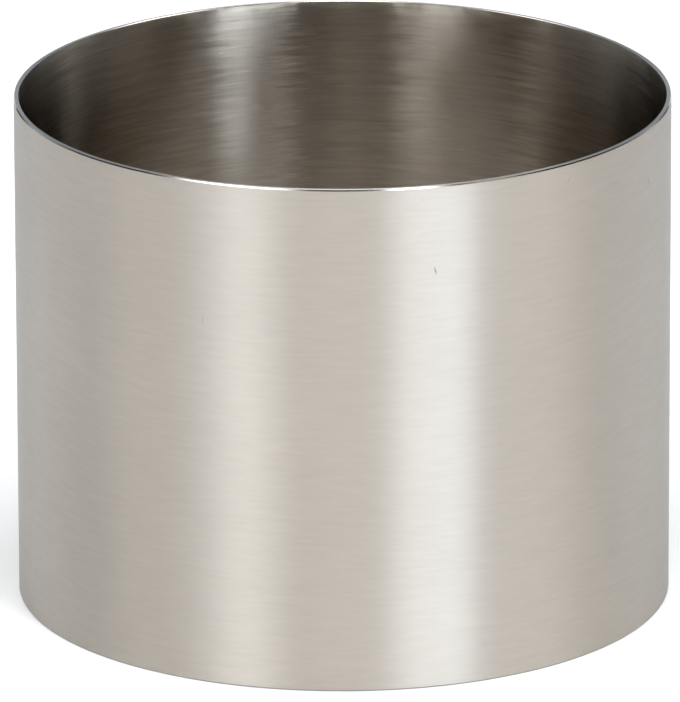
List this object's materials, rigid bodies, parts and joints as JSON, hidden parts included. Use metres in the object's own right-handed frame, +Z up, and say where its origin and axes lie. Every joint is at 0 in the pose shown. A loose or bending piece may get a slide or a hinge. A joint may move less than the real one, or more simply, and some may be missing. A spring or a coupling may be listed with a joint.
{
  "type": "cooking ring",
  "caption": "Open-ended round ring of brushed stainless steel: a rolled band closed by a flush butt weld, for moulding, cutting and plating food.",
  "frame": {"origin": "middle of the circle that the ring stands on, in the plane of the lower rim", "axes": "+Z up along the ring's axis, +X through the weld, -Y towards the side that the picture shows"},
  "size_m": [0.0762, 0.0762, 0.06],
  "materials": {
    "brushed_steel": "satin, brushed around the ring",
    "dressed_weld": "ground flush and brushed over"
  },
  "bodies": {
    "root": {"rolled_band": "brushed_steel", "weld_seam": "dressed_weld"}
  },
  "joints": []
}
